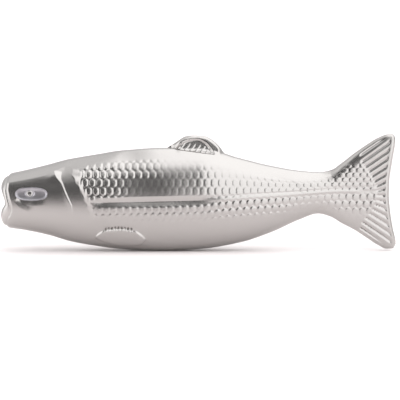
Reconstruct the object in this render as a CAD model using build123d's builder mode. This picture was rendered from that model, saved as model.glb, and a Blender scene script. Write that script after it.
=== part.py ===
from build123d import *
import os

# Fish-shaped bottle opener, hollow, pressed from stainless sheet.
# X runs along the fish (head at -X, tail at +X), Y is its thickness, Z is up.
# Origin: under the middle of the fish, on the surface that it stands on.

# ---- driving dimensions, mm ----
SHEET = 1.3  # thickness of the pressed sheet
SIDE_POINTS = 7  # points on a quarter of a body section
CUT_REACH = 40  # how far a through-cut reaches to each side

# Body sections: (x, lowest z, highest z, half width, squareness of the oval)
STATIONS = [
    (-90.0, 13.8, 30.6, 8.6, 2.6),
    (-88.6, 11.6, 33.0, 10.0, 2.5),
    (-86.0, 10.6, 34.6, 10.8, 2.4),
    (-79.6, 9.6, 36.1, 11.4, 2.3),
    (-68.7, 7.3, 38.8, 11.9, 2.2),
    (-57.7, 4.1, 41.6, 12.3, 2.1),
    (-46.8, 2.2, 43.5, 12.6, 2.1),
    (-35.8, 0.8, 45.2, 12.8, 2.1),
    (-18.0, 0.0, 46.5, 12.8, 2.1),
    (0.0, 0.7, 46.6, 12.2, 2.1),
    (18.9, 3.7, 41.8, 10.6, 2.1),
    (32.6, 8.2, 38.4, 8.8, 2.2),
    (46.2, 14.3, 36.1, 6.6, 2.3),
    (54.4, 16.9, 35.5, 5.4, 2.4),
    (59.9, 15.6, 36.2, 4.6, 2.6),
    (65.4, 12.4, 39.8, 3.9, 3.0),
    (70.9, 9.5, 44.2, 3.4, 3.0),
    (76.3, 6.0, 48.0, 3.0, 3.2),
    (81.8, 2.4, 51.4, 2.7, 3.2),
    (86.0, 0.6, 52.9, 2.5, 3.2),
    (90.6, 0.9, 53.2, 2.4, 3.2),
]
HOLLOW_STATIONS = STATIONS[:19]  # the cavity ends short of the tail's edge

# Side outlines, as (x, z)
TAIL_EDGE = [(88.0, 53.6), (89.4, 51.0), (88.0, 40.6), (86.8, 31.3), (86.7, 25.5),
             (87.3, 18.0), (88.6, 10.2), (90.0, 3.3), (88.4, -0.2)]
MOUTH_EDGE = [(-90.0, 31.2), (-89.3, 28.3), (-87.5, 22.1), (-88.7, 19.8), (-90.0, 16.3)]
LIP_BACK = [(-86.6, 36.0), (-86.7, 30.7), (-87.0, 28.7), (-86.4, 25.6), (-85.3, 21.7),
            (-84.9, 19.4), (-85.5, 17.1), (-86.9, 14.6), (-87.6, 10.0)]
DORSAL_OUTLINE = [(-14.9, 46.4), (-10.3, 49.3), (-5.7, 52.0), (-2.1, 52.4), (2.9, 52.0),
                  (6.6, 50.0), (9.8, 46.8), (13.0, 42.4)]
DORSAL_FOOT = [(8.0, 38.0), (-12.0, 41.0)]
DORSAL_HALF = 2.2  # half thickness of the dorsal fin

# Mouth cup
CUP_GAP = 0.5  # between the cup's spigot and the shells
SPIGOT_STATIONS = STATIONS[:6]
MOUTH_Z, MOUTH_HALF_HEIGHT, MOUTH_HALF_WIDTH = 22.3, 8.7, 8.6
MOUTH_CORNER = 7.0
MOUTH_FLOOR_X = -81.6  # the mouth is closed off here
CUP_BACK_X = -80.2
HOOK_X, HOOK_LENGTH, HOOK_WIDTH, HOOK_RISE = -87.1, 1.8, 7.0, 1.6
LUG_END_X, LUG_HALF, LUG_HEIGHT = -72.6, 1.6, 7.0

# Eye, rivet and spacer
EYE_X, EYE_Z = -75.3, 26.8
EYE_LENGTH, EYE_HEIGHT = 14.6, 6.0
EYE_FACE, EYE_DEPTH = 11.5, 1.4  # outer face and thickness of the eye cup
EYE_TILT = 3.0  # degrees, as the head widens towards the body
EYE_WALL, EYE_DISH = 0.7, 0.7  # rim left round the dish, and its depth
FIT = 0.05  # clearance all round the pressed-in pieces
RIVET_X, RIVET_Z = -76.1, 27.0
RIVET_RADIUS, RIVET_BORE = 1.2, 0.75
HEAD_RADIUS, HEAD_INNER, HEAD_OUTER = 1.6, 10.9, 11.45
SPACER_RADIUS, SPACER_HALF = 2.2, 9.8


def oval_points(z_low, z_high, half_width, squareness):
    """Points round an upright oval; a higher squareness makes it boxier."""
    count = 4 * SIDE_POINTS
    half_height = (z_high - z_low) / 2
    middle = (z_high + z_low) / 2
    points = []
    for step in range(count):
        turn = Vector(1, 0).rotate(Axis.Z, 360 * (step + 0.5) / count)
        y, z = (
            abs(part) ** (2 / squareness) * (1 if part > 0 else -1)
            for part in (turn.X, turn.Y)
        )
        points.append((half_width * y, middle + half_height * z))
    return points


def body_sections(stations, inset):
    """One closed section for each station, all drawn in by the inset."""
    sections = []
    for x, z_low, z_high, half_width, squareness in stations:
        crossing = Plane(origin=(x, 0, 0), x_dir=(0, 1, 0), z_dir=(1, 0, 0))
        with BuildSketch(crossing) as section:
            with BuildLine():
                Spline(
                    *oval_points(z_low + inset, z_high - inset, half_width - inset, squareness),
                    periodic=True,
                )
            make_face()
        sections.append(section.sketch)
    return sections


def side_cutter(edge, far_x):
    """Everything from a side outline out to far_x, right through the fish."""
    (first_x, first_z), (last_x, last_z) = edge[0], edge[-1]
    with BuildPart() as cutter:
        with BuildSketch(Plane.XZ):
            with BuildLine():
                Spline(*edge)
                Polyline(
                    (last_x, last_z), (last_x, -CUT_REACH), (far_x, -CUT_REACH),
                    (far_x, 2 * CUT_REACH), (first_x, 2 * CUT_REACH), (first_x, first_z),
                )
            make_face()
        extrude(amount=CUT_REACH, both=True)
    return cutter.part


def eye_plane(depth):
    """A plane on the left of the head, facing out, at a depth under the eye's face."""
    outward = Vector(0, -1, 0).rotate(Axis.Z, -EYE_TILT)
    along = Vector(1, 0, 0).rotate(Axis.Z, -EYE_TILT)
    face = Plane(origin=(EYE_X, -EYE_FACE, EYE_Z), x_dir=along, z_dir=outward)
    return face.offset(-depth)


def rivet_plane(y):
    """A plane square to the rivet, facing +Y."""
    return Plane(origin=(RIVET_X, y, RIVET_Z), x_dir=(-1, 0, 0), z_dir=(0, 1, 0))


# ---- the outer form, and the space inside the sheet ----
with BuildPart() as body_form:
    loft(body_sections(STATIONS, 0))
    with BuildSketch(Plane.XZ):
        with BuildLine():
            Spline(*DORSAL_OUTLINE)
            Polyline(DORSAL_OUTLINE[-1], *DORSAL_FOOT, DORSAL_OUTLINE[0])
        make_face()
    extrude(amount=DORSAL_HALF, both=True)
    add(side_cutter(TAIL_EDGE, 100), mode=Mode.SUBTRACT)
    add(side_cutter(MOUTH_EDGE, -100), mode=Mode.SUBTRACT)

with BuildPart() as hollow_form:
    loft(body_sections(HOLLOW_STATIONS, SHEET))

# ---- two pressed half shells, each with an oval hole for its eye ----
with BuildPart() as left_shell:
    add(body_form.part)
    add(hollow_form.part, mode=Mode.SUBTRACT)
    add(side_cutter(LIP_BACK, -100), mode=Mode.SUBTRACT)
    split(bisect_by=Plane.XZ, keep=Keep.TOP)
    with BuildSketch(eye_plane(2 * EYE_DEPTH)):
        Ellipse(EYE_LENGTH / 2, EYE_HEIGHT / 2)
    extrude(amount=4 * EYE_DEPTH, mode=Mode.SUBTRACT)
left_shell.part.label = "left_shell"

with BuildPart() as right_shell:
    add(mirror(left_shell.part, about=Plane.XZ))
right_shell.part.label = "right_shell"

# ---- mouth cup: lip band, spigot, floor, hook, and the lug that the rivet holds ----
with BuildPart() as mouth_cup:
    loft(body_sections(SPIGOT_STATIONS, SHEET + CUP_GAP))
    with BuildSketch(Plane(origin=(CUP_BACK_X, 0, 0), x_dir=(0, 1, 0), z_dir=(1, 0, 0))):
        Rectangle(2 * CUT_REACH, 4 * CUT_REACH)
    extrude(amount=CUT_REACH, mode=Mode.SUBTRACT)
    add(side_cutter(MOUTH_EDGE, -100), mode=Mode.SUBTRACT)
    add(body_form.part - side_cutter(LIP_BACK, 100))
    with BuildSketch(Plane(origin=(MOUTH_FLOOR_X, 0, MOUTH_Z), x_dir=(0, -1, 0), z_dir=(-1, 0, 0))):
        RectangleRounded(2 * MOUTH_HALF_WIDTH, 2 * MOUTH_HALF_HEIGHT, MOUTH_CORNER)
    extrude(amount=CUT_REACH, mode=Mode.SUBTRACT)
    lower_lip_z = MOUTH_Z - MOUTH_HALF_HEIGHT
    with BuildSketch(Plane.XZ):
        with BuildLine():
            Polyline(
                (HOOK_X, lower_lip_z - HOOK_RISE),
                (HOOK_X - HOOK_LENGTH, lower_lip_z - HOOK_RISE / 2),
                (HOOK_X - HOOK_LENGTH, lower_lip_z + HOOK_RISE),
                (HOOK_X, lower_lip_z + HOOK_RISE / 4),
                close=True,
            )
        make_face()
    extrude(amount=HOOK_WIDTH / 2, both=True)
    with BuildSketch(Plane.XZ):
        with Locations(((CUP_BACK_X + LUG_END_X) / 2, RIVET_Z)):
            Rectangle(LUG_END_X - CUP_BACK_X, LUG_HEIGHT)
    extrude(amount=LUG_HALF, both=True)
    with BuildSketch(rivet_plane(0)):
        Circle(SPACER_RADIUS + FIT)
    extrude(amount=2 * LUG_HALF, both=True, mode=Mode.SUBTRACT)
mouth_cup.part.label = "mouth_cup"

# ---- dished oval cups that make the eyes ----
with BuildPart() as left_eye_cup:
    with BuildSketch(eye_plane(0)):
        Ellipse(EYE_LENGTH / 2 - FIT, EYE_HEIGHT / 2 - FIT)
    extrude(amount=-EYE_DEPTH)
    rim = left_eye_cup.faces().sort_by(Axis.Y)[0].edges()
    chamfer(rim, EYE_WALL / 3)
    with BuildSketch(eye_plane(0)):
        Ellipse(EYE_LENGTH / 2 - EYE_WALL, EYE_HEIGHT / 2 - EYE_WALL)
    extrude(amount=-EYE_DISH, mode=Mode.SUBTRACT)
    with BuildSketch(rivet_plane(-EYE_FACE - EYE_DEPTH)):
        Circle(RIVET_RADIUS + 2 * FIT)
    extrude(amount=EYE_FACE, mode=Mode.SUBTRACT)
left_eye_cup.part.label = "left_eye_cup"

with BuildPart() as right_eye_cup:
    add(mirror(left_eye_cup.part, about=Plane.XZ))
right_eye_cup.part.label = "right_eye_cup"

# ---- tubular rivet through the head; its two heads are the pupils ----
with BuildPart() as eye_rivet:
    with BuildSketch(rivet_plane(0)):
        Circle(RIVET_RADIUS)
    extrude(amount=HEAD_OUTER, both=True)
    with BuildSketch(rivet_plane(HEAD_INNER), rivet_plane(-HEAD_OUTER)):
        Circle(HEAD_RADIUS)
    extrude(amount=HEAD_OUTER - HEAD_INNER)
    crowns = eye_rivet.edges().filter_by(GeomType.CIRCLE).group_by(SortBy.RADIUS)[-1]
    fillet(crowns.group_by(Axis.Y)[0] + crowns.group_by(Axis.Y)[-1], RIVET_BORE / 3)
    with BuildSketch(rivet_plane(0)):
        Circle(RIVET_BORE)
    extrude(amount=2 * HEAD_OUTER, both=True, mode=Mode.SUBTRACT)
eye_rivet.part.label = "eye_rivet"

# ---- spacer tube that keeps the shells apart when the rivet is set ----
with BuildPart() as rivet_spacer:
    with BuildSketch(rivet_plane(0)):
        Circle(SPACER_RADIUS)
        Circle(RIVET_RADIUS + FIT, mode=Mode.SUBTRACT)
    extrude(amount=SPACER_HALF, both=True)
rivet_spacer.part.label = "rivet_spacer"

os.makedirs("parts", exist_ok=True)
export_step(left_shell.part, "parts/left_shell.step")
export_step(right_shell.part, "parts/right_shell.step")
export_step(mouth_cup.part, "parts/mouth_cup.step")
export_step(left_eye_cup.part, "parts/left_eye_cup.step")
export_step(right_eye_cup.part, "parts/right_eye_cup.step")
export_step(eye_rivet.part, "parts/eye_rivet.step")
export_step(rivet_spacer.part, "parts/rivet_spacer.step")
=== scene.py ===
import math

import bpy
import numpy as np
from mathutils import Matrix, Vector


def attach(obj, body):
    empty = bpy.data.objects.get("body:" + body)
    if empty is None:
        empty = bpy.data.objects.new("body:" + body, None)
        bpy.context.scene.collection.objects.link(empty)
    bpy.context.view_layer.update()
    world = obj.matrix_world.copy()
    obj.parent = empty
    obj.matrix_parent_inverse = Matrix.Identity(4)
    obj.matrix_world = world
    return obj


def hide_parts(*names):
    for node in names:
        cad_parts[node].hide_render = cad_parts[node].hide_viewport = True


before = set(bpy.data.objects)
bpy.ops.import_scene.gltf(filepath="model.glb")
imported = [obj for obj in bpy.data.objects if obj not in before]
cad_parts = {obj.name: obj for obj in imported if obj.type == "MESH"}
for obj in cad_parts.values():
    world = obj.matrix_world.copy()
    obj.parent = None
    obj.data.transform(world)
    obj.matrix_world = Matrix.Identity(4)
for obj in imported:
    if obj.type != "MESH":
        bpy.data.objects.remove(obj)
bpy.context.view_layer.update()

MM = 0.001  # the fish is worked out in millimetres and built in metres

# ---- the hollow body ----
# Body sections: (x, lowest z, highest z, half width, squareness of the oval)
STATIONS = [
    (-90.0, 13.8, 30.6, 8.6, 2.6),
    (-88.6, 11.6, 33.0, 10.0, 2.5),
    (-86.0, 10.6, 34.6, 10.8, 2.4),
    (-79.6, 9.6, 36.1, 11.4, 2.3),
    (-68.7, 7.3, 38.8, 11.9, 2.2),
    (-57.7, 4.1, 41.6, 12.3, 2.1),
    (-46.8, 2.2, 43.5, 12.6, 2.1),
    (-35.8, 0.8, 45.2, 12.8, 2.1),
    (-18.0, 0.0, 46.5, 12.8, 2.1),
    (0.0, 0.7, 46.6, 12.2, 2.1),
    (18.9, 3.7, 41.8, 10.6, 2.1),
    (32.6, 8.2, 38.4, 8.8, 2.2),
    (46.2, 14.3, 36.1, 6.6, 2.3),
    (54.4, 16.9, 35.5, 5.4, 2.4),
    (59.9, 15.6, 36.2, 4.6, 2.6),
    (65.4, 12.4, 39.8, 3.9, 3.0),
    (70.9, 9.5, 44.2, 3.4, 3.0),
    (76.3, 6.0, 48.0, 3.0, 3.2),
    (81.8, 2.4, 51.4, 2.7, 3.2),
    (86.0, 0.6, 52.9, 2.5, 3.2),
    (90.6, 0.9, 53.2, 2.4, 3.2),
]
LOWEST, HIGHEST, HALF_WIDTH, SQUARENESS = 1, 2, 3, 4  # the columns of the stations
SHEET = 1.0  # thickness of the pressed sheet

# Side outlines, as (x, z)
TAIL_EDGE = [(88.0, 53.6), (89.4, 51.0), (88.0, 40.6), (86.8, 31.3), (86.7, 25.5),
             (87.3, 18.0), (88.6, 10.2), (90.0, 3.3), (88.4, -0.2)]
LIP_BACK = [(-86.6, 36.0), (-86.7, 30.7), (-87.0, 28.7), (-86.4, 25.6), (-85.3, 21.7),
            (-84.9, 19.4), (-85.5, 17.1), (-86.9, 14.6), (-87.6, 10.0)]
DORSAL_OUTLINE = [(-14.9, 46.4), (-10.3, 49.3), (-5.7, 52.0), (-2.1, 52.4), (2.9, 52.0),
                  (6.6, 50.0), (9.8, 46.8), (13.0, 42.4)]
MOUTH_EDGE = [(-90.0, 31.2), (-89.3, 28.3), (-87.5, 22.1), (-88.7, 19.8), (-90.0, 16.3)]

# Dorsal fin: half thickness at its top, its growth downwards, its highest z and its edge's rounding
DORSAL_TIP, DORSAL_TAPER, DORSAL_TOP, DORSAL_ROUND = 1.2, 0.28, 52.4, 1.2
FIN_STRETCH, FIN_ROOT = ((-13, -8), (12, 9)), 6  # soft ends of the fin, and its reach into the back
FIN_BLEND = 4  # the fin and the back are added as this power, which fillets the corner between them
TAIL_ROUND = 1.5  # depth of the rounded edge of the tail

# The blank that the skin is laid on: the length from lip to tail edge, the columns that are crowded
# into each rounded end, the first and the last of the even columns, and the places read up each rib
SKIN_LENGTH, END_COLUMNS, LIP_CROWDING = 174.0, 7, 0.7
FIRST_EVEN, LAST_EVEN = 1.4, 172.4
RIB_PLACES = 301
MIDDLE_Z = 24.0  # level that the search for a rib starts from
ROUNDS = 8  # rounds after which a level and an outline agree
OUTER_FACE, INNER_FACE = (560, 150), (140, 38)  # places along and up the two faces of a shell
SEAM_FADE = 1.5  # half thickness within which the embossing fades into the seam

# ---- mouth, eyes, rivet and spacer ----
LIP_ROLL, LIP_RISE, LIP_REACH, LIP_FALL = 1.3, 0.3, (3.0, 0.8), 0.75  # the shell's front edge
LIP_TUCK, LIP_WALL = 2.0, 2.1  # insets of the bead's tucked edge and of the mouth's wall
MOUTH_FLOOR, CUP_BACK, SPIGOT_END = -81.6, -80.2, 1.8
MOUTH_MIDDLE, POLE = 22.9, 12.0  # z of the mouth's middle, and the inset that stands for a point there
MOUTH_START_Z = 22.0  # level that the search for a ring of the lip starts from
# Lip bead: (share of the way from the lip's back line to its front edge, inset)
LIP_BEAD = [(-0.2, LIP_TUCK), (-0.2, 0.6), (-0.1, 0.42), (0.0, 0.33), (0.1, 0.29), (0.22, 0.27),
            (0.34, 0.27), (0.46, 0.32), (0.58, 0.44), (0.70, 0.62), (0.80, 0.82), (0.88, 1.04),
            (0.94, 1.28), (0.98, 1.5), (1.0, 1.75), (0.98, 1.95), (0.90, LIP_WALL + 0.1)]

EYE_X, EYE_Z, EYE_FACE = -75.3, 26.8, 11.75
EYE_LENGTH, EYE_HEIGHT, EYE_SQUARE = 14.6, 5.9, 2.4
EYE_TILT, EYE_LEAN, EYE_HOLE = 3.0, 4.0, 1.3  # two angles in degrees, and the rivet hole's radius
# Eye cup: (inset from the oval's edge, height over the face, share of the way to the rivet's hole)
EYE_PROFILE = [
    (0.0, -1.4, 0), (0.0, -0.2, 0), (-0.03, 0.02, 0), (0.0, 0.13, 0), (0.05, 0.18, 0),
    (0.12, 0.18, 0), (0.18, 0.12, 0), (0.24, 0.02, 0), (0.34, -0.12, 0), (0.55, -0.22, 0),
    (1.0, -0.3, 0.05), (1.0, -0.36, 0.25), (1.0, -0.42, 0.5), (1.0, -0.47, 0.75), (1.0, -0.5, 1.0),
    (1.0, -1.4, 1.0), (0.5, -1.4, 0.3), (0.0, -1.4, 0),
]

RIVET_X, RIVET_Z, RIVET_RADIUS, RIVET_BORE, RIVET_HEAD, RIVET_HALF = -76.1, 27.0, 1.2, 0.75, 1.6, 11.45
SPACER_RADIUS, SPACER_HALF, SPACER_GAP, SPACER_CHAMFER = 2.2, 9.8, 0.05, 0.2

# Rounded blocks in the cup: (centre, size, lean in degrees, rounding, facets of the rounding)
HOOK = (-87.9, 0, 13.6), (2.0, 7.0, 2.2), -18, 0.45, 4
LUG = (-77.0, 0, RIVET_Z), (6.8, 3.2, 7.0), 0, 0.4, 3

CUP_PLACES, EYE_PLACES, RIVET_PLACES = 193, 129, 65  # places round a ring, the first one twice
CREASE_ANGLE = 50  # faces that meet at less than this many degrees are shaded as one
WELD_REACH = 0.002

# ---- embossed lines, as (x, z) on the left skin ----
BROW = [(-89.0, 30.4), (-85.4, 31.2), (-75.5, 33.1), (-69.2, 34.5), (-65.6, 36.1), (-60.0, 38.6)]
JAW_CREASE = [(-83.4, 23.6), (-81.8, 21.8), (-80.1, 20.4), (-77.6, 19.0), (-75.0, 18.0)]
GILL_RIDGE = [(-65.4, 36.6), (-64.3, 34.2), (-61.8, 31.4), (-59.8, 26.6), (-57.6, 21.8),
              (-56.9, 17.6), (-57.6, 12.0)]
SHOULDER = [(-56.4, 40.5), (-55.0, 36.3), (-53.8, 31.9), (-52.2, 29.0), (-50.2, 24.7),
            (-48.6, 20.7), (-47.5, 16.8), (-47.0, 13.0), (-47.2, 9.0)]
LATERAL_LINE = [(-50.0, 23.0), (-45.9, 23.0), (-33.6, 23.2), (-0.7, 23.9), (4.7, 24.1),
                (25.3, 25.4), (41.2, 26.1), (64.5, 27.3), (75.0, 27.2)]
TAIL_ROOT = [(72.6, 46.0), (73.8, 40.0), (76.8, 36.0), (79.0, 32.0), (80.6, 28.0), (80.7, 24.0),
             (79.2, 20.4), (77.0, 16.8), (74.0, 13.2), (72.4, 9.0)]
TAIL_INNER = [(87.2, 53.0), (86.9, 49.0), (86.0, 43.0), (85.3, 37.0), (84.7, 30.0), (84.6, 24.0),
              (85.4, 19.3), (86.8, 11.3), (87.9, 6.8), (88.2, 2.0)]
PECTORAL_TOP = [(-47.0, 7.0), (-44.6, 9.2), (-41.5, 10.5), (-35.8, 11.0), (-29.3, 10.2),
                (-25.8, 8.2), (-23.6, 5.9)]
PECTORAL_FOOT = [(-47.0, 7.0), (-40.4, 3.8), (-33.6, 2.6), (-26.7, 3.4), (-23.6, 5.9)]
DORSAL_INNER = [(-10.8, 46.2), (-8.0, 48.9), (-3.9, 50.7), (-0.7, 51.1), (2.9, 49.9), (5.7, 47.0),
                (7.9, 43.8)]
DORSAL_BASE = [(-10.8, 46.2), (7.9, 43.8)]

# ---- the embossing itself ----
# A pair named FADE, WALL, FROM, RUN, END, FOOT, FRONT or REAR is where a soft step goes from 0 to 1, and
# a STRETCH is two of them, its soft ends. Another pair is a plain value and what it grows by.
BROW_HEIGHT, BROW_BELOW, BROW_ABOVE, BROW_FADE = 0.95, 6.0, 4.5, (-46.0, -70.0)  # height and reaches
SEAT_DEPTH, SEAT_WALL = 0.65, (0.97, 0.87)  # the seat of the eye cup, its wall as shares of the oval
SOCKET_DEPTH, SOCKET_REACH = 0.3, 1.8  # the hollow under the eye, which ends at this share of the oval
SOCKET_TOP, SOCKET_FADE, SOCKET_EASE = 1.5, (1.0, 0.5), 1.5
CREASE_DEPTH, CREASE_STEEP, CREASE_EASE = 0.3, 2.4, 9.0  # depth, steep wall and easing of the jaw crease
CREASE_STRETCH = (1.0, 0.7), (-0.02, 0.12)
BULB_SHARE = 0.14  # share of the way down the gill ridge and the shoulder at which they swell
GILL_HEIGHT, GILL_FALL, GILL_EASE, GILL_BULB = (0.2, 0.4), (0.75, 2.6), (2.6, 3.4), 0.10
GILL_STRETCH = (1.0, 0.65), (0.0, 0.08)

SHELF_HEIGHT, SHELF_SLOPE, SHELF_BULB = (0.6, 0.4), (2.2, 2.0), 0.09
SHELF_WAVE, SHELF_FADE, SHELF_STRETCH = 0.7, (28, 3), ((0.97, 0.72), (0.02, 0.10))

# Scales: spacing along and up the skin, the level that the rows are counted from, and where they start
SCALE_PITCH, SCALE_ROW, SCALE_LEVEL, SCALE_START = 3.215, 3.75, 28.1, 5.3
SCALE_HALF, SCALE_UP, SCALE_RIM = 1.6, 0.6, 0.7  # half length, share of the row, share that slopes
ROW_SQUEEZE, SQUEEZE_FROM = 0.42, (12, 44)  # the rows close up towards the narrow root of the tail
LOWER_ROW, LOWER_START = 3.2, 2.6  # spacing of the rows below the flank line, and where they start
# Where the scales stop: behind the shoulder and its swelling, before the tail's root, at the belly
FIELD_WALL, FIELD_BULB, ROOT_WALL, BELLY_FADE = (-0.5, 0.7), 2.4, (0.4, -0.4), (-13.5, -6.0)
# Under the back, a bare strip and the depth at which the scales are full; the tail has its own
BARE_TAIL, BARE_BODY, BARE_FROM = 1.5, 2.5, (60, 40)
HIGHEST_TAIL, HIGHEST_BODY, HIGHEST_FROM = 40.0, 8.0, (62, 50)
FULL_BODY, FULL_TAIL, FULL_FROM, FULL_GAP = 5.5, 3.0, (60, 70), 1.5
# Beside the flank line, the start and the end of the scales' edge, each as a pair for the furrow
STRIP_FADE, ABOVE_LINE, BELOW_LINE = (-32, -40), ((0.2, 1.0), (1.0, 1.6)), ((0.2, 1.5), (0.9, 1.6))
# Height of the scales: the least of it, and what each (height, start, end) along the body adds
UPPER_LEAST, UPPER_MORE = 0.022, [(0.178, -29, -44), (0.06, -6, 8), (0.03, 20, 35)]
TOP_MORE, TOP_FROM, TOP_RUN = 0.13, (-12, -28), (5.2, 6.6)
LOWER_LEAST, LOWER_MORE, LOWER_REAR = 0.10, (0.02, 0, 12), (0.09, 0, 12)
LOWER_REAR_END, LOWEST_MORE, LOWEST_RUN = (50, 35), (0.3, 0.4), (-3.5, -6.0)
FURROW_END = (12, -2)  # where the furrow under the flank line gives way to a thin ridge
LINE_STRETCH, GROOVE_END = ((-49, -42), (76, 70)), (14, -14)
GROOVE_ABOVE, GROOVE_BELOW, GROOVE_DEPTH = 2.2, (1.9, 0.5), (0.55, 0.35)
WIDEN_FROM, DEEPEN_FROM = (-45, -15), (-45, -16)
# The thin ridge on the rear half, and the fine groove over it
LINE_HEIGHT, LINE_WIDTH, LINE_DEPTH, LINE_GAP, LINE_SIDE = 0.24, 0.7, 0.12, 1.2, 0.35

# Pectoral fin: softness of its upper edge, its height, and what its two ends stand prouder
LEAF_EDGE, LEAF_HEIGHT, LEAF_ENDS = 0.9, 0.45, 0.4
LEAF_FOOT, LEAF_STRETCH = (-0.3, 0.9), ((-47.4, -46.2), (-22.9, -24.0))
LEAF_FRONT, LEAF_REAR, NOTCH_STRETCH = (-41.5, -44.0), (-29.5, -27.5), ((-42.4, -41.8), (-29.2, -29.8))
NOTCH_START, NOTCH_PITCH, NOTCH_WIDTH, NOTCH_UP, NOTCH_REACH = -42.0, 1.46, 0.42, 0.2, 0.75
# Dorsal field: its depth, how it deepens downwards, and its rays
FIN_DEPTH, FIN_DEEPER, FIN_LEVEL, FIN_FALL = 0.7, 0.03, 51.0, 6
RIM_WALL, RIM_WIDER, RIM_FROM, BASE_WALL = 0.7, 1.1, (0, 5), (-0.1, 0.55)
SUNK_STRETCH, RAY_END = ((-11.2, -9.8), (8.3, 7.0)), (4.2, 2.4)
RAY_START, RAY_PITCH, RAY_WIDTH, RAY_HEIGHT, RAY_LEAN, RAY_FOOT = -8.9, 2.6, 0.24, 0.22, 0.8, 46.0
# Tail fan: where its grooves spread from, and their spacing at the tail's edge
FAN_X, FAN_Z, FAN_SPREAD, FAN_SOFTNESS, FAN_ROUNDS = 86, 25.3, 0.7, 9.0, 10
FAN_TOP, FAN_PITCH, FAN_HALF, FAN_DEPTH = 49.0, 3.37, 0.95, (0.42, 0.22)
FAN_WALL, FAN_END, DEEPER_FROM = (-0.3, 1.2), (0.2, -0.8), (27, 20)
FAN_STRETCH = (0.03, 0.07), (0.985, 0.95)

# ---- finishes: name, colour and roughness, and the satin grain that they share ----
FINISHES = {
    "shell_steel": ("satin_shell_steel", (0.43, 0.415, 0.405), 0.25),
    "mouth_steel": ("satin_mouth_steel", (0.46, 0.445, 0.435), 0.25),
    # the eye steel's slight blue tint is a painted reflection, standing in for blue light mirrored in
    # the eye, not a tint of the metal
    "eye_steel": ("bright_eye_steel_painted_blue_reflection", (0.38, 0.37, 0.395), 0.34),
    "rivet_steel": ("bright_rivet_steel", (0.5, 0.49, 0.49), 0.15),
}
BRUSHING = 0.7
GRAIN_STRETCH, GRAIN_SCALE, GRAIN_DETAIL = (0.3, 1.0, 1.0), 2200, 2.0
GRAIN_STRENGTH, GRAIN_DEPTH = 0.25, 0.00002

# ---- studio: the light of each zone of the world, and where one zone turns into the next ----
DARK_LIGHT, RIGHT_LIGHT, LEFT_LIGHT, SIDE_LIGHT = 0.08, 2.0, 2.1, 0.95
BACK_LIGHT, OVERHEAD_LIGHT, HEAD_LIGHT, BACKDROP = 0.85, 2.25, 1.2, 1.2
FRONT_EDGE, OVERHEAD_EDGE, HEAD_EDGE = (0.25, -0.15), (0.56, 0.74), (-0.12, -0.04)
RIGHT_EDGE, SIDE_EDGE, LEFT_EDGE = (0.085, 0.125), (0.80, 0.97), (-0.40, -0.60)
FLOOR_PLACE, FLOOR_SIZE = (0.9, 1.3, -0.0002), (2.2, 3, 1)
FLOOR_COLOUR, FLOOR_ROUGHNESS = (0.95, 0.90, 0.90), 0.6
CAMERA_AIM, CAMERA_DISTANCE, CAMERA_ELEVATION = (0.64, 0, 22.9), 0.9, 6
SENSOR, VIEW_WIDTH = 36, 0.1824  # the camera's sensor in mm, and the width that it sees in metres


# ---- curves and soft steps ----
def through(points, at, along=0):
    """A smooth curve through the points, read at the given places along one axis."""
    points = sorted(points, key=lambda point: point[along])
    x = np.array([point[along] for point in points], float)
    z = np.array([point[1 - along] for point in points], float)
    slope = np.diff(z) / np.diff(x)
    lean = np.zeros_like(z)
    same = slope[1:] * slope[:-1] > 0
    lean[1:-1][same] = 2 * slope[1:][same] * slope[:-1][same] / (slope[1:] + slope[:-1])[same]
    lean[0], lean[-1] = slope[0], slope[-1]
    at = np.clip(at, x[0], x[-1])
    k = np.clip(np.searchsorted(x, at) - 1, 0, len(x) - 2)
    width = x[k + 1] - x[k]
    t = (at - x[k]) / width
    return (
        (2 * t**3 - 3 * t**2 + 1) * z[k]
        + (t**3 - 2 * t**2 + t) * width * lean[k]
        + (3 * t**2 - 2 * t**3) * z[k + 1]
        + (t**3 - t**2) * width * lean[k + 1]
    )


def station(column, x):
    """One column of the body's stations, read smoothly at x."""
    return through([(row[0], row[column]) for row in STATIONS], x)


def step(start, end, value):
    """A soft step from 0 at start to 1 at end."""
    t = np.clip((value - start) / (end - start), 0, 1)
    return t * t * (3 - 2 * t)


def within(stretch, value):
    """1 inside a stretch and 0 outside it, with a soft step at each end."""
    first, last = stretch
    return step(*first, value) * step(*last, value)


def grown(pair, share):
    """The plain value of a pair, grown by a share of its second value."""
    return pair[0] + pair[1] * share


def hump(value, width):
    """A smooth hump, 1 where the value is 0."""
    return np.exp(-(value / width) ** 2)


def repeated(value, pitch):
    """How far the value is from the nearest multiple of the pitch, with its sign."""
    return ((value / pitch + 0.5) % 1 - 0.5) * pitch


def rotated(first, second, angle):
    """Two coordinates turned by an angle, from the first towards the second."""
    cosine, sine = math.cos(angle), math.sin(angle)
    return first * cosine - second * sine, second * cosine + first * sine


def squared(wave, square):
    """A sine or cosine pushed out towards a square, as a superellipse of that squareness has it."""
    return np.sign(wave) * np.abs(wave) ** (2 / square)


# ---- the plain skin ----
def back_z(x):
    """The top outline, dorsal fin included."""
    inside = (x > DORSAL_OUTLINE[0][0]) & (x < DORSAL_OUTLINE[-1][0])
    back = station(HIGHEST, x)
    return np.where(inside, np.maximum(back, through(DORSAL_OUTLINE, x)), back)


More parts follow.
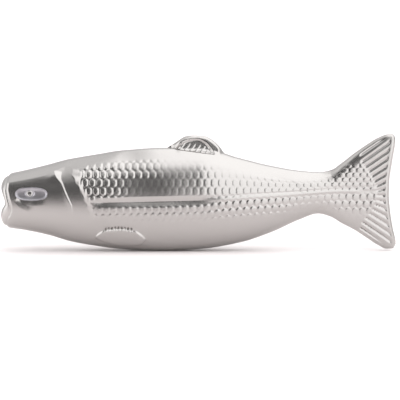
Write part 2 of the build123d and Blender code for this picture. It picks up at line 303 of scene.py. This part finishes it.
def half_thickness(x, z):
    """How far the plain outer skin stands from the middle plane."""
    low, high = station(LOWEST, x), station(HIGHEST, x)
    level = np.clip((2 * z - low - high) / (high - low), -1, 1)
    square = station(SQUARENESS, x)
    body = station(HALF_WIDTH, x) * (1 - np.abs(level) ** square) ** (1 / square)
    top = back_z(x)
    plate = DORSAL_TIP + DORSAL_TAPER * (DORSAL_TOP - z)
    rounded = np.sqrt(1 - np.clip(1 - (top - z) / DORSAL_ROUND, 0, 1) ** 2)
    fin = np.where(top > high + 0.01, plate * rounded, 0)
    fin *= within(FIN_STRETCH, x) * step(high - FIN_ROOT, high, z)
    body = (np.abs(body) ** FIN_BLEND + np.abs(fin) ** FIN_BLEND) ** (1 / FIN_BLEND)
    edge = np.clip((through(TAIL_EDGE, z, along=1) - x) / TAIL_ROUND, 0, 1)
    return body * np.sqrt(1 - (1 - edge) ** 2)


def run_along(line):
    """The distance walked up each rib of a grid of places, from its first place."""
    walked = np.cumsum(np.linalg.norm(np.diff(line, axis=1), axis=2), axis=1)
    return np.concatenate([np.zeros((len(line), 1)), walked], axis=1)


def blank(columns, rows):
    """Places across the left skin, lip to tail by belly to back, evenly spaced along each rib."""
    ends = TAIL_ROUND * (1 - np.cos(np.linspace(0, math.pi / 2, END_COLUMNS))) / SKIN_LENGTH
    even = np.linspace(FIRST_EVEN, LAST_EVEN, columns - 2 * END_COLUMNS) / SKIN_LENGTH
    share = np.concatenate([ends * LIP_CROWDING, even, 1 - ends[::-1]])
    level = np.sin(np.linspace(-math.pi / 2, math.pi / 2, RIB_PLACES))
    share, level = np.meshgrid(share, level, indexing="ij")
    z = np.full(share.shape, MIDDLE_Z)
    for _ in range(ROUNDS):
        front, tail = through(LIP_BACK, z, along=1), through(TAIL_EDGE, z, along=1)
        x = front + share * (tail - front)
        low, high = station(LOWEST, x), back_z(x)
        z = low + (level + 1) / 2 * (high - low)
    rib = np.stack([x, half_thickness(x, z), z], axis=-1)
    run = run_along(rib)
    place = np.empty((columns, rows, 3))
    for k in range(columns):
        even = np.linspace(0, run[k, -1], rows)
        for axis in range(3):
            place[k, :, axis] = np.interp(even, run[k], rib[k, :, axis])
    return place


def outward(place):
    """Unit normals of a grid of places, pointing away from the middle plane."""
    along = np.gradient(place, axis=0)
    up = np.gradient(place, axis=1)
    normal = np.cross(up, along)
    normal /= np.linalg.norm(normal, axis=2, keepdims=True) + 1e-12
    return normal * np.where(normal[..., 1:2].mean() < 0, -1, 1)


def beside(line, x, z):
    """For each place: the share of the way along a line of points, and the distance to its left.

    A place to the right of the line, as it is walked, has a negative distance.
    """
    best = np.full(x.shape, 1e9)
    share, side = np.zeros(x.shape), np.zeros(x.shape)
    for k, ((x0, z0), (x1, z1)) in enumerate(zip(line, line[1:])):
        dx, dz = x1 - x0, z1 - z0
        t = np.clip(((x - x0) * dx + (z - z0) * dz) / (dx * dx + dz * dz), 0, 1)
        away = np.hypot(x - x0 - t * dx, z - z0 - t * dz)
        closer = away < best
        best = np.where(closer, away, best)
        share = np.where(closer, (k + t) / (len(line) - 1), share)
        side = np.where(closer, np.sign(dx * (z - z0) - dz * (x - x0)), side)
    return share, best * side


# ---- the embossing ----
def head_relief(x, z):
    """Brow, seat of the eye cup and the hollow under it, jaw crease and gill edge."""
    drop = through(BROW, x) - z
    below, above = np.clip(1 - drop / BROW_BELOW, 0, 1), np.clip(1 + drop / BROW_ABOVE, 0, 1)
    height = (BROW_HEIGHT * np.where(drop > 0, below**2, above**2)) * step(*BROW_FADE, x)

    along, up = np.abs(x - EYE_X) / (EYE_LENGTH / 2), np.abs(z - EYE_Z) / (EYE_HEIGHT / 2)
    eye = (along**EYE_SQUARE + up**EYE_SQUARE) ** (1 / EYE_SQUARE)
    height -= SEAT_DEPTH * step(*SEAT_WALL, eye)
    socket = np.clip((SOCKET_REACH - eye) / (SOCKET_REACH - 1), 0, 1) ** SOCKET_EASE
    height -= SOCKET_DEPTH * socket * step(EYE_Z, EYE_Z - SOCKET_TOP, z) * step(*SOCKET_FADE, along)

    share, over = beside(JAW_CREASE, x, z)
    wall, rise = np.clip(over / CREASE_STEEP, 0, 1), step(CREASE_EASE, CREASE_STEEP, over)
    crease = np.where(over < CREASE_STEEP, wall, rise)
    height -= CREASE_DEPTH * crease * within(CREASE_STRETCH, share)

    share, behind = beside(GILL_RIDGE, x, z)
    bulb = hump(share - BULB_SHARE, GILL_BULB)
    rounded = np.sqrt(np.clip(share / BULB_SHARE, 0.01, 1))
    fall = np.clip(1 - behind / grown(GILL_FALL, bulb) / rounded, 0, 1)
    ease = np.clip(1 + behind / grown(GILL_EASE, bulb), 0, 1) ** 2
    edge = grown(GILL_HEIGHT, bulb) * within(GILL_STRETCH, share)
    return height + edge * np.where(behind > 0, fall, ease)


def scale_rows(x, run, row_pitch, first_shift):
    """Raised oval scales in staggered rows, flat on top with sloping rims."""
    height = np.zeros_like(x)
    nearest = np.floor(run / row_pitch)
    for row in (nearest - 1, nearest, nearest + 1, nearest + 2):
        shift = 0.5 * ((row + first_shift) % 2)
        along = (x - SCALE_START) / SCALE_PITCH - shift
        dx = (along - np.rint(along)) * SCALE_PITCH
        dome = 1 - (dx / SCALE_HALF) ** 2 - ((run - row * row_pitch) / (SCALE_UP * row_pitch)) ** 2
        height = np.maximum(height, np.clip(dome / SCALE_RIM, 0, 1))
    return height


def shoulder_relief(share, behind, bulb, level_run):
    """The shelf that rises behind the shoulder line, its wall scalloped by the rows of scales."""
    wave = SHELF_WAVE * np.cos(2 * math.pi * level_run / SCALE_ROW)
    slope = grown(SHELF_SLOPE, bulb) + wave
    shelf = np.clip(behind / slope + 0.5, 0, 1) * step(*SHELF_FADE, behind)
    return grown(SHELF_HEIGHT, bulb) * shelf * within(SHELF_STRETCH, share)


def scale_field(x, z, run, behind, bulb):
    """1 where there are scales: from the shoulder to the tail's root, clear of the back and belly."""
    field = step(*FIELD_WALL, behind - FIELD_BULB * bulb)
    field *= step(*ROOT_WALL, x - through(TAIL_ROOT, z, along=1))
    back = station(HIGHEST, x)
    highest = HIGHEST_TAIL + HIGHEST_BODY * step(*HIGHEST_FROM, x)
    bare = np.minimum(back - BARE_TAIL - BARE_BODY * step(*BARE_FROM, x), highest)
    full = np.minimum(back - FULL_BODY + FULL_TAIL * step(*FULL_FROM, x), bare - FULL_GAP)
    return field * step(bare, full, z) * step(*BELLY_FADE, run)


def scale_height(x, run, level_run, furrow):
    """How far the rows above and below the flank line stand out.

    They stand proudest behind the shoulder, fade along the middle and return towards the tail.
    """
    upper = UPPER_LEAST + sum(more * step(start, end, x) for more, start, end in UPPER_MORE)
    upper += TOP_MORE * step(*TOP_FROM, x) * step(*TOP_RUN, level_run)
    lower = LOWER_LEAST + LOWER_MORE[0] * step(*LOWER_MORE[1:], x)
    lower += LOWER_REAR[0] * step(*LOWER_REAR[1:], x) * step(*LOWER_REAR_END, x)
    lower *= 1 + grown(LOWEST_MORE, furrow) * step(*LOWEST_RUN, run)
    return upper, lower


def scale_relief(x, z, run, level_run):
    """The shoulder, the scales behind it, and the line along the flank."""
    share, behind = beside(SHOULDER, x, z)
    bulb = hump(share - BULB_SHARE, SHELF_BULB)
    height = shoulder_relief(share, behind, bulb, level_run)

    lateral = through(LATERAL_LINE, x)
    furrow = step(*FURROW_END, x)
    squeeze = 1 - ROW_SQUEEZE * step(*SQUEEZE_FROM, x)
    upper = scale_rows(x, level_run, SCALE_ROW * squeeze, 0)
    lower = scale_rows(x, run + LOWER_START + furrow, LOWER_ROW, 1)

    upper_height, lower_height = scale_height(x, run, level_run, furrow)
    field = scale_field(x, z, run, behind, bulb)
    strip = furrow * (1 - step(*STRIP_FADE, x))  # where a bare strip runs along the top of the furrow
    above = step(*(grown(pair, strip) for pair in ABOVE_LINE), z - lateral)
    below = step(*(grown(pair, furrow) for pair in BELOW_LINE), lateral - z)
    height += field * (upper_height * upper * above + lower_height * lower * below)

    ends = within(LINE_STRETCH, x)
    slope_above = (z - lateral) / GROOVE_ABOVE
    slope_below = (lateral - z) / grown(GROOVE_BELOW, step(*WIDEN_FROM, x))
    groove = np.clip(np.where(z > lateral, 1 - slope_above, 1 - slope_below), 0, 1)
    depth = grown(GROOVE_DEPTH, step(*DEEPEN_FROM, x))
    height -= depth * groove * step(*GROOVE_END, x) * ends
    ridge = LINE_HEIGHT * hump(z - lateral, LINE_WIDTH)
    ridge -= LINE_DEPTH * hump(z - lateral - LINE_GAP, LINE_SIDE)
    return height + ridge * (1 - furrow) * ends


def pectoral_relief(x, z):
    """A low leaf with a notched upper edge."""
    top = through(PECTORAL_TOP, x)
    leaf = np.clip((top - z) / LEAF_EDGE + 0.5, 0, 1)
    leaf *= step(*LEAF_FOOT, z - through(PECTORAL_FOOT, x)) * within(LEAF_STRETCH, x)
    notch = hump(repeated(x - NOTCH_START, NOTCH_PITCH), NOTCH_WIDTH)
    notch *= within(NOTCH_STRETCH, x) * hump(top + NOTCH_UP - z, NOTCH_REACH)
    ends = step(*LEAF_FRONT, x) + step(*LEAF_REAR, x)
    return (LEAF_HEIGHT + LEAF_ENDS * ends) * leaf - notch


def dorsal_relief(x, z):
    """A sunk field with thin raised rays, under a plain rim."""
    rim = through(DORSAL_INNER, x) - z
    base = z - through(DORSAL_BASE, x)
    wall = RIM_WALL + RIM_WIDER * step(*RIM_FROM, x)
    sunk = step(0.0, wall, rim) * step(*BASE_WALL, base) * within(SUNK_STRETCH, x)
    lean = x - RAY_LEAN * (z - RAY_FOOT)
    ray = hump(repeated(lean - RAY_START, RAY_PITCH), RAY_WIDTH)
    depth = FIN_DEPTH + FIN_DEEPER * np.clip(FIN_LEVEL - z, 0, FIN_FALL)
    return sunk * (RAY_HEIGHT * ray * step(*RAY_END, base) - depth)


def tail_relief(x, z):
    """Fanned grooves between the root of the tail and its rim."""
    low, high = station(LOWEST, x), station(HIGHEST, x)
    level = (z - low) / (high - low)
    reach = z
    for _ in range(FAN_ROUNDS):
        reach = z + FAN_SPREAD * np.tanh((reach - FAN_Z) / FAN_SOFTNESS) * (FAN_X - x)
    groove = np.clip(1 - np.abs(repeated(FAN_TOP - reach, FAN_PITCH)) / FAN_HALF, 0, 1)
    field = step(*FAN_WALL, x - through(TAIL_ROOT, z, along=1))
    field *= step(*FAN_END, x - through(TAIL_INNER, z, along=1)) * within(FAN_STRETCH, level)
    return -grown(FAN_DEPTH, step(*DEEPER_FROM, z)) * groove * field


def skin(columns, rows, inset=0.0):
    """The places of one half of the skin: embossed, or plain and inset for the inner face."""
    place = blank(columns, rows)
    x, z = place[..., 0], place[..., 2]
    if inset:
        height = np.full(x.shape, -inset)
    else:
        # distances up the skin, from the flank line and from the level that the rows are counted from
        run = run_along(place)
        level_run = run.copy()
        for rib, from_line, from_level in zip(place, run, level_run):
            widest = rib[rib[:, 1].argmax(), 0]
            from_line -= np.interp(through(LATERAL_LINE, widest), rib[:, 2], from_line)
            from_level -= np.interp(SCALE_LEVEL, rib[:, 2], from_level)
        seam = np.clip(place[..., 1] / SEAM_FADE, 0, 1)
        height = head_relief(x, z) + scale_relief(x, z, run, level_run)
        height = (height + pectoral_relief(x, z) + dorsal_relief(x, z) + tail_relief(x, z)) * seam
        edge = np.clip((x - through(LIP_BACK, z, along=1)) / LIP_ROLL, 0, 1)
        height += LIP_RISE * step(*LIP_REACH, edge * LIP_ROLL) * seam - LIP_FALL * (1 - edge) ** 1.5
    place = place + outward(place) * height[..., None]
    place[..., 1] = np.maximum(place[..., 1], 0)
    place[:, 0, 1] = place[:, -1, 1] = 0
    return place


# ---- modelling helpers ----
def deselect():
    bpy.ops.object.select_all(action="DESELECT")


def pick(*pieces):
    """Selects these pieces alone, the first of them active."""
    deselect()
    for piece in pieces:
        piece.select_set(True)
    bpy.context.view_layer.objects.active = pieces[0]


def grid_piece(name, place, side=1):
    """A blank grid laid onto the given places; side is -1 for the left, 1 for the right."""
    columns, rows = place.shape[:2]
    deselect()
    bpy.ops.mesh.primitive_grid_add(x_subdivisions=columns - 1, y_subdivisions=rows - 1, size=1)
    piece = bpy.context.object
    piece.name = piece.data.name = name
    flat = np.empty(len(piece.data.vertices) * 3)
    piece.data.vertices.foreach_get("co", flat)
    flat = flat.reshape(-1, 3)
    column = np.rint((flat[:, 0] + 0.5) * (columns - 1)).astype(int)
    row = np.rint((flat[:, 1] + 0.5) * (rows - 1)).astype(int)
    laid = place[column, row] * MM
    laid[:, 1] *= side
    piece.data.vertices.foreach_set("co", laid.ravel())
    piece.data.update()
    return piece


def weld(piece):
    """Closes the seams and the poles of a piece, and turns its faces outward."""
    pick(piece)
    bpy.ops.object.mode_set(mode="EDIT")
    bpy.ops.mesh.select_all(action="SELECT")
    bpy.ops.mesh.remove_doubles(threshold=WELD_REACH * MM)
    bpy.ops.mesh.normals_make_consistent(inside=False)
    bpy.ops.object.mode_set(mode="OBJECT")


def round_off(piece, width, segments):
    """Bevels every edge of a piece."""
    pick(piece)
    bpy.ops.object.mode_set(mode="EDIT")
    bpy.ops.mesh.select_all(action="SELECT")
    bpy.ops.mesh.bevel(offset=width * MM, segments=segments, affect="EDGES")
    bpy.ops.object.mode_set(mode="OBJECT")


def block(centre, size, lean, width, segments):
    """A rounded block, leaned by some degrees about its own centre."""
    deselect()
    bpy.ops.mesh.primitive_cube_add(size=1, location=[value * MM for value in centre])
    piece = bpy.context.object
    piece.scale = [value * MM for value in size]
    piece.rotation_euler = (0, math.radians(lean), 0)
    bpy.ops.object.transform_apply(location=False, rotation=True, scale=True)
    round_off(piece, width, segments)
    return piece


def join(*parts):
    """Joins the parts into the first of them."""
    pick(*parts)
    bpy.ops.object.join()
    return parts[0]


def dress(piece, finish, angle=CREASE_ANGLE):
    """Smooth shading up to the crease angle, and one finish all over."""
    pick(piece)
    bpy.ops.object.shade_smooth_by_angle(angle=math.radians(angle))
    piece.data.materials.clear()
    piece.data.materials.append(finish)
    return piece


# ---- the pieces ----
def shell(name, side, finish):
    """An embossed half shell with its inner face; the two are bridged round the seam."""
    outer = grid_piece(name, skin(*OUTER_FACE), side)
    inner = grid_piece("inner_face", skin(*INNER_FACE, SHEET), side)
    piece = join(outer, inner)
    bpy.ops.object.mode_set(mode="EDIT")
    bpy.ops.mesh.select_all(action="DESELECT")
    bpy.ops.mesh.select_non_manifold()
    bpy.ops.mesh.bridge_edge_loops()
    bpy.ops.mesh.select_all(action="SELECT")
    bpy.ops.mesh.normals_make_consistent(inside=False)
    bpy.ops.object.mode_set(mode="OBJECT")
    return dress(piece, finish)


def section_ring(x, inset, turn):
    """Places round the body's section at x, drawn in by the inset."""
    low, high = station(LOWEST, x), station(HIGHEST, x)
    half, square = station(HALF_WIDTH, x), station(SQUARENESS, x)
    y = (half - inset) * squared(np.cos(turn), square)
    z = (low + high) / 2 + ((high - low) / 2 - inset) * squared(np.sin(turn), square)
    return y, z


def mouth_cup(finish):
    """Lip bead, rounded front, mouth wall and floor, and the spigot that fits inside the shells."""
    turn = np.linspace(0, 2 * math.pi, CUP_PLACES)

    def bead_ring(share, inset):
        """A ring that follows the lip's curved outline."""
        z = np.full(turn.shape, MOUTH_START_Z)
        for _ in range(ROUNDS):
            back, front = through(LIP_BACK, z, along=1), through(MOUTH_EDGE, z, along=1)
            x = back + share * (front - back)
            y, z = section_ring(x, inset, turn)
        return np.stack([x, y, z], axis=-1)

    def flat_ring(x, inset):
        """A ring straight across the body, or its middle point."""
        x = np.full(turn.shape, x)
        y, z = section_ring(x, inset, turn)
        if inset == POLE:
            y, z = np.zeros_like(y), np.full(turn.shape, MOUTH_MIDDLE)
        return np.stack([x, y, z], axis=-1)

    spigot = [(CUP_BACK, POLE), (CUP_BACK, 4.0), (CUP_BACK, 2.3), (CUP_BACK - 0.3, SPIGOT_END)]
    mouth = [(MOUTH_FLOOR - 0.9, LIP_WALL), (MOUTH_FLOOR - 0.3, LIP_WALL + 0.3),
             (MOUTH_FLOOR, LIP_WALL + 0.9), (MOUTH_FLOOR, 6.0), (MOUTH_FLOOR, POLE)]
    rings = [flat_ring(*row) for row in spigot] + [bead_ring(*row) for row in LIP_BEAD]
    rings += [flat_ring(*row) for row in mouth]
    piece = grid_piece("mouth_cup_pressing", np.stack(rings, axis=1))
    weld(piece)
    return dress(join(piece, block(*HOOK), block(*LUG)), finish)


def eye_cup(name, side, finish):
    """A pressed oval cup: rolled rim, dished face, and a round hole for the rivet."""
    turn = np.linspace(0, 2 * math.pi, EYE_PLACES)
    oval_x, oval_z = squared(np.cos(turn), EYE_SQUARE), squared(np.sin(turn), EYE_SQUARE)
    hole_x = RIVET_X - EYE_X + EYE_HOLE * np.cos(turn)
    hole_z = RIVET_Z - EYE_Z + EYE_HOLE * np.sin(turn)
    rings = []
    for inset, height, share in EYE_PROFILE:
        along = (EYE_LENGTH / 2 - inset) * oval_x * (1 - share) + hole_x * share
        up = (EYE_HEIGHT / 2 - inset) * oval_z * (1 - share) + hole_z * share
        rings.append(np.stack([along, np.full(turn.shape, height), up], axis=-1))
    along, out, up = np.moveaxis(np.stack(rings, axis=1), -1, 0)
    tilt, lean = math.radians(EYE_TILT), math.radians(EYE_LEAN)
    out, up = rotated(out, up, lean)
    along, out = rotated(along, out, tilt)
    piece = grid_piece(name, np.stack([EYE_X + along, EYE_FACE + out, EYE_Z + up], axis=-1), side)
    weld(piece)
    return dress(piece, finish, 180)


def turned(name, profile, finish):
    """A closed profile of (radius, y) turned round the rivet's axis."""
    turn = np.linspace(0, 2 * math.pi, RIVET_PLACES)
    rings = []
    for radius, y in profile:
        x, z = RIVET_X + radius * np.cos(turn), RIVET_Z + radius * np.sin(turn)
        rings.append(np.stack([x, np.full(turn.shape, y), z], axis=-1))
    piece = grid_piece(name, np.stack(rings, axis=1))
    weld(piece)
    return dress(piece, finish)


def rivet(finish):
    """A tubular rivet, its two ends rolled over."""
    # one rolled end, as (radius, distance in from the rivet's end)
    end = [(RIVET_RADIUS, 0.75), (RIVET_HEAD - 0.1, 0.7), (RIVET_HEAD, 0.45), (RIVET_HEAD - 0.08, 0.2),
           (RIVET_HEAD - 0.28, 0.04), (RIVET_HEAD - 0.5, 0.0), (RIVET_HEAD - 0.68, 0.08),
           (RIVET_BORE + 0.03, 0.3), (RIVET_BORE, 0.7)]
    right = [(radius, RIVET_HALF - back) for radius, back in end]
    loop = [(radius, -y) for radius, y in reversed(right)] + right
    return turned("tubular_rivet", loop + loop[:1], finish)


def spacer(finish):
    """The tube round the rivet, its outer edges chamfered."""
    inner, outer, far, cut = RIVET_RADIUS + SPACER_GAP, SPACER_RADIUS, SPACER_HALF, SPACER_CHAMFER
    loop = [(inner, -far), (outer - cut, -far), (outer, -far + cut), (outer, far - cut),
            (outer - cut, far), (inner, far), (inner, -far)]
    return turned("rivet_spacer_tube", loop, finish)


# ---- finishes ----
def steel(name, colour, roughness):
    """Satin metal, brushed round the fish's length, with a fine grain."""
    material = bpy.data.materials.new(name)
    material.use_nodes = True
    nodes, links = material.node_tree.nodes, material.node_tree.links
    shader = nodes["Principled BSDF"]
    shader.inputs["Metallic"].default_value = 1.0
    shader.inputs["Base Color"].default_value = (*colour, 1)
    shader.inputs["Roughness"].default_value = roughness
    shader.inputs["Anisotropic"].default_value = BRUSHING
    brushed = nodes.new("ShaderNodeTangent")
    brushed.direction_type, brushed.axis = "RADIAL", "X"
    place = nodes.new("ShaderNodeTexCoord")
    stretch = nodes.new("ShaderNodeMapping")
    stretch.inputs["Scale"].default_value = GRAIN_STRETCH
    grain = nodes.new("ShaderNodeTexNoise")
    grain.inputs["Scale"].default_value = GRAIN_SCALE
    grain.inputs["Detail"].default_value = GRAIN_DETAIL
    bump = nodes.new("ShaderNodeBump")
    bump.inputs["Strength"].default_value = GRAIN_STRENGTH
    bump.inputs["Distance"].default_value = GRAIN_DEPTH
    links.new(brushed.outputs[0], shader.inputs["Tangent"])
    links.new(place.outputs["Object"], stretch.inputs["Vector"])
    links.new(stretch.outputs["Vector"], grain.inputs["Vector"])
    links.new(grain.outputs["Fac"], bump.inputs["Height"])
    links.new(bump.outputs["Normal"], shader.inputs["Normal"])
    return material


# ---- studio ----
def studio():
    """A world of soft light and dark zones, which the steel mirrors."""
    world = bpy.data.worlds.new("studio")
    bpy.context.scene.world = world
    world.use_nodes = True
    nodes, links = world.node_tree.nodes, world.node_tree.links
    nodes.clear()

    def node(kind, **values):
        made = nodes.new(kind)
        for key, value in values.items():
            setattr(made, key, value)
        return made

    def maths(operation, *terms):
        made = node("ShaderNodeMath", operation=operation)
        for socket, term in zip(made.inputs, terms):
            if isinstance(term, (int, float)):
                socket.default_value = term
            else:
                links.new(term, socket)
        return made.outputs[0]

    def soft(value, edge):
        """A soft step from 0 to 1 between the two ends of an edge."""
        made = node("ShaderNodeMapRange", interpolation_type="SMOOTHSTEP")
        links.new(value, made.inputs["Value"])
        made.inputs["From Min"].default_value, made.inputs["From Max"].default_value = edge
        return made.outputs["Result"]

    def blend(value, onto, share):
        """onto where share is 0, value where it is 1."""
        kept = maths("MULTIPLY", onto, maths("SUBTRACT", 1.0, share))
        return maths("MULTIPLY_ADD", share, value, kept)

    direction = node("ShaderNodeTexCoord").outputs["Generated"]
    split = node("ShaderNodeSeparateXYZ")
    links.new(direction, split.inputs[0])
    across, deep, up = split.outputs

    light = blend(RIGHT_LIGHT, DARK_LIGHT, soft(across, RIGHT_EDGE))
    light = blend(SIDE_LIGHT, light, soft(across, SIDE_EDGE))
    light = blend(LEFT_LIGHT, light, soft(across, LEFT_EDGE))
    light = blend(light, BACK_LIGHT, soft(deep, FRONT_EDGE))
    ceiling = blend(OVERHEAD_LIGHT, HEAD_LIGHT, soft(across, HEAD_EDGE))
    light = blend(ceiling, light, soft(up, OVERHEAD_EDGE))
    light = blend(BACKDROP, light, node("ShaderNodeLightPath").outputs["Is Camera Ray"])
    background = node("ShaderNodeBackground")
    background.inputs["Color"].default_value = (1, 1, 1, 1)
    links.new(light, background.inputs["Strength"])
    output = node("ShaderNodeOutputWorld")
    links.new(background.outputs[0], output.inputs[0])


def floor():
    """A plain pale floor, just under the belly."""
    deselect()
    bpy.ops.mesh.primitive_plane_add(size=1, location=FLOOR_PLACE)
    ground = bpy.context.object
    ground.scale = FLOOR_SIZE
    bpy.ops.object.transform_apply(location=False, rotation=False, scale=True)
    ground.name = "floor"
    material = bpy.data.materials.new("pale_floor")
    material.use_nodes = True
    shader = material.node_tree.nodes["Principled BSDF"]
    shader.inputs["Base Color"].default_value = (*FLOOR_COLOUR, 1)
    shader.inputs["Roughness"].default_value = FLOOR_ROUGHNESS
    ground.data.materials.append(material)


def camera():
    """A long lens level with the left side, looking slightly down."""
    data = bpy.data.cameras.new("camera")
    eye = bpy.data.objects.new("camera", data)
    bpy.context.collection.objects.link(eye)
    elevation = math.radians(CAMERA_ELEVATION)
    away = Vector((0, -math.cos(elevation), math.sin(elevation)))
    eye.location = Vector(CAMERA_AIM) * MM + CAMERA_DISTANCE * away
    eye.rotation_euler = (math.pi / 2 - elevation, 0, 0)
    data.sensor_width = SENSOR
    data.lens = SENSOR * CAMERA_DISTANCE / VIEW_WIDTH
    data.clip_start, data.clip_end = 0.01, 20
    bpy.context.scene.camera = eye


bpy.context.scene.view_settings.view_transform = "Standard"
studio()
floor()
camera()
finishes = {slot: steel(*look) for slot, look in FINISHES.items()}
shell_steel, mouth_steel, eye_steel, rivet_steel = finishes.values()
made = [
    (shell("left_shell_pressing", -1, shell_steel), "left_shell", "shell_steel"),
    (shell("right_shell_pressing", 1, shell_steel), "right_shell", "shell_steel"),
    (mouth_cup(mouth_steel), "mouth_cup", "mouth_steel"),
    (eye_cup("left_eye_dish", -1, eye_steel), "left_eye_cup", "eye_steel"),
    (eye_cup("right_eye_dish", 1, eye_steel), "right_eye_cup", "eye_steel"),
    (rivet(rivet_steel), "eye_rivet", "rivet_steel"),
    (spacer(rivet_steel), "rivet_spacer", "rivet_steel"),
]
for piece, node, finish in made:
    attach(piece, "root")
    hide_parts(node)
